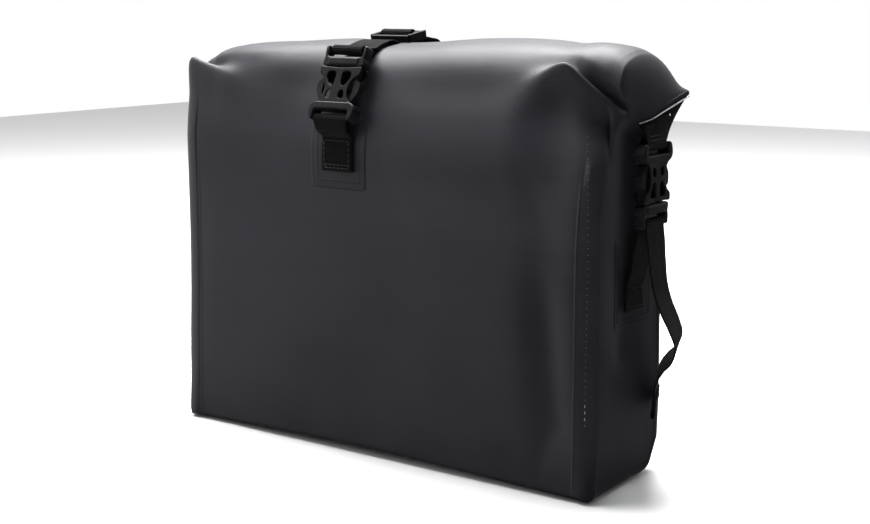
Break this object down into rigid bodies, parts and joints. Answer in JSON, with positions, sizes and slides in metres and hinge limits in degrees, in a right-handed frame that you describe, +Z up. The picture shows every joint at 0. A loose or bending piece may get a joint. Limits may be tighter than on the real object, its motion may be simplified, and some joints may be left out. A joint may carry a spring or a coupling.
{
  "type": "pannier bag",
  "caption": "Roll-top bicycle pannier: welded fabric bag with webbing straps, side-release buckles, a tri-glide and rack hooks with a lift-to-open handle.",
  "frame": {"origin": "centre of the flat bottom, on the ground", "axes": "+X along the bag's width, front face towards -Y, rack side towards +Y, +Z up"},
  "size_m": [0.4564, 0.1716, 0.3348],
  "materials": {
    "coated_fabric": "matte coated",
    "webbing": "ribbed weave",
    "buckle_plastic": "satin moulded",
    "board": "matte sheet",
    "steel": "satin"
  },
  "bodies": {
    "bag": {"front_panel": "coated_fabric", "gusset": "coated_fabric", "back_panel": "coated_fabric", "back_board": "board", "front_patch": "coated_fabric", "front_anchor_webbing": "webbing", "front_buckle_male": "buckle_plastic", "roof_skirt": "coated_fabric", "top_rail": "buckle_plastic", "lower_rail": "buckle_plastic", "strap_anchor_plate": "steel", "side_patch_right": "coated_fabric", "side_strap_right": "webbing", "top_rail_screw_right": "steel", "lower_rail_screw_right": "steel", "top_hook_right": "buckle_plastic", "hook_screw_right_inner": "steel", "hook_screw_right_outer": "steel", "latch_pin_right": "steel", "side_patch_left": "coated_fabric", "side_strap_left": "webbing", "top_rail_screw_left": "steel", "lower_rail_screw_left": "steel", "top_hook_left": "buckle_plastic", "hook_screw_left_inner": "steel", "hook_screw_left_outer": "steel", "latch_pin_left": "steel"},
    "closure": {"roll_top": "coated_fabric", "mouth_stiffener": "board", "top_strap": "webbing", "roll_tab_right": "coated_fabric", "tab_loop_right": "webbing", "side_right_buckle_female": "buckle_plastic", "roll_tab_left": "coated_fabric", "tab_loop_left": "webbing", "side_left_buckle_female": "buckle_plastic"},
    "glide": {"tri_glide": "buckle_plastic"},
    "front_female": {"front_buckle_female": "buckle_plastic"},
    "front_arm_right": {"front_arm_right": "buckle_plastic"},
    "front_arm_left": {"front_arm_left": "buckle_plastic"},
    "handle": {"carry_handle": "webbing"},
    "lower_slider": {"lower_slider": "buckle_plastic", "lower_hook_pin": "steel"},
    "lower_hook": {"lower_hook": "buckle_plastic"},
    "side_male_right": {"side_right_buckle_male": "buckle_plastic"},
    "side_arm_right_front": {"side_right_arm_front": "buckle_plastic"},
    "side_arm_right_rear": {"side_right_arm_rear": "buckle_plastic"},
    "latch_right": {"hook_latch_right": "buckle_plastic"},
    "side_male_left": {"side_left_buckle_male": "buckle_plastic"},
    "side_arm_left_front": {"side_left_arm_front": "buckle_plastic"},
    "side_arm_left_rear": {"side_left_arm_rear": "buckle_plastic"},
    "latch_left": {"hook_latch_left": "buckle_plastic"}
  },
  "joints": [
    {"name": "closure_lift", "type": "slide", "parent": "bag", "child": "closure", "axis": [0, 0, 1], "range_m": [0, 0.08], "deforming": ["top_strap"]},
    {"name": "tri_glide_slide", "type": "slide", "parent": "closure", "child": "glide", "axis": [0, 0.9781, -0.2079], "range_m": [-0.008, 0.01]},
    {"name": "front_unclip", "type": "slide", "parent": "bag", "child": "front_female", "axis": [0, -0.4003, -0.9164], "range_m": [0, 0.03], "deforming": ["front_anchor_webbing"]},
    {"name": "front_squeeze_right", "type": "hinge", "parent": "bag", "child": "front_arm_right", "pos_m": [-0.0155, -0.04753, 0.30685], "axis": [0, 0.9164, -0.4003], "range_deg": [0, 7]},
    {"name": "front_squeeze_left", "type": "hinge", "parent": "bag", "child": "front_arm_left", "pos_m": [-0.0445, -0.04753, 0.30685], "axis": [0, -0.9164, 0.4003], "range_deg": [0, 7]},
    {"name": "side_unclip_right", "type": "slide", "parent": "bag", "child": "side_male_right", "axis": [0, 0, -1], "range_m": [0, 0.03], "deforming": ["side_strap_right"]},
    {"name": "side_squeeze_right_front", "type": "hinge", "parent": "side_male_right", "child": "side_arm_right_front", "pos_m": [0.2075, -0.0035, 0.2156], "axis": [-1, 0, 0], "range_deg": [0, 7]},
    {"name": "side_squeeze_right_rear", "type": "hinge", "parent": "side_male_right", "child": "side_arm_right_rear", "pos_m": [0.2075, 0.0255, 0.2156], "axis": [1, 0, 0], "range_deg": [0, 7]},
    {"name": "side_unclip_left", "type": "slide", "parent": "bag", "child": "side_male_left", "axis": [0, 0, -1], "range_m": [0, 0.03], "deforming": ["side_strap_left"]},
    {"name": "side_squeeze_left_front", "type": "hinge", "parent": "side_male_left", "child": "side_arm_left_front", "pos_m": [-0.2075, -0.0035, 0.2156], "axis": [-1, 0, 0], "range_deg": [0, 7]},
    {"name": "side_squeeze_left_rear", "type": "hinge", "parent": "side_male_left", "child": "side_arm_left_rear", "pos_m": [-0.2075, 0.0255, 0.2156], "axis": [1, 0, 0], "range_deg": [0, 7]},
    {"name": "handle_lift", "type": "slide", "parent": "bag", "child": "handle", "axis": [0, 0, 1], "range_m": [0, 0.01]},
    {"name": "latch_open_right", "type": "hinge", "parent": "bag", "child": "latch_right", "pos_m": [0.085, 0.0775, 0.2885], "axis": [-1, 0, 0], "range_deg": [0, 26]},
    {"name": "latch_open_left", "type": "hinge", "parent": "bag", "child": "latch_left", "pos_m": [-0.085, 0.0775, 0.2885], "axis": [-1, 0, 0], "range_deg": [0, 26]},
    {"name": "lower_slide", "type": "slide", "parent": "bag", "child": "lower_slider", "axis": [1, 0, 0], "range_m": [-0.055, 0.055]},
    {"name": "lower_swivel", "type": "hinge", "parent": "lower_slider", "child": "lower_hook", "pos_m": [0, 0.0677, 0.095], "axis": [0, 1, 0], "range_deg": [-90, 90]}
  ],
  "couplings": [
    {"joint": "front_squeeze_left", "follows": "front_squeeze_right", "ratio": 1},
    {"joint": "side_squeeze_right_rear", "follows": "side_squeeze_right_front", "ratio": 1},
    {"joint": "side_squeeze_left_rear", "follows": "side_squeeze_left_front", "ratio": 1},
    {"joint": "latch_open_right", "follows": "handle_lift", "rad_per_m": 45.3},
    {"joint": "latch_open_left", "follows": "handle_lift", "rad_per_m": 45.3}
  ]
}
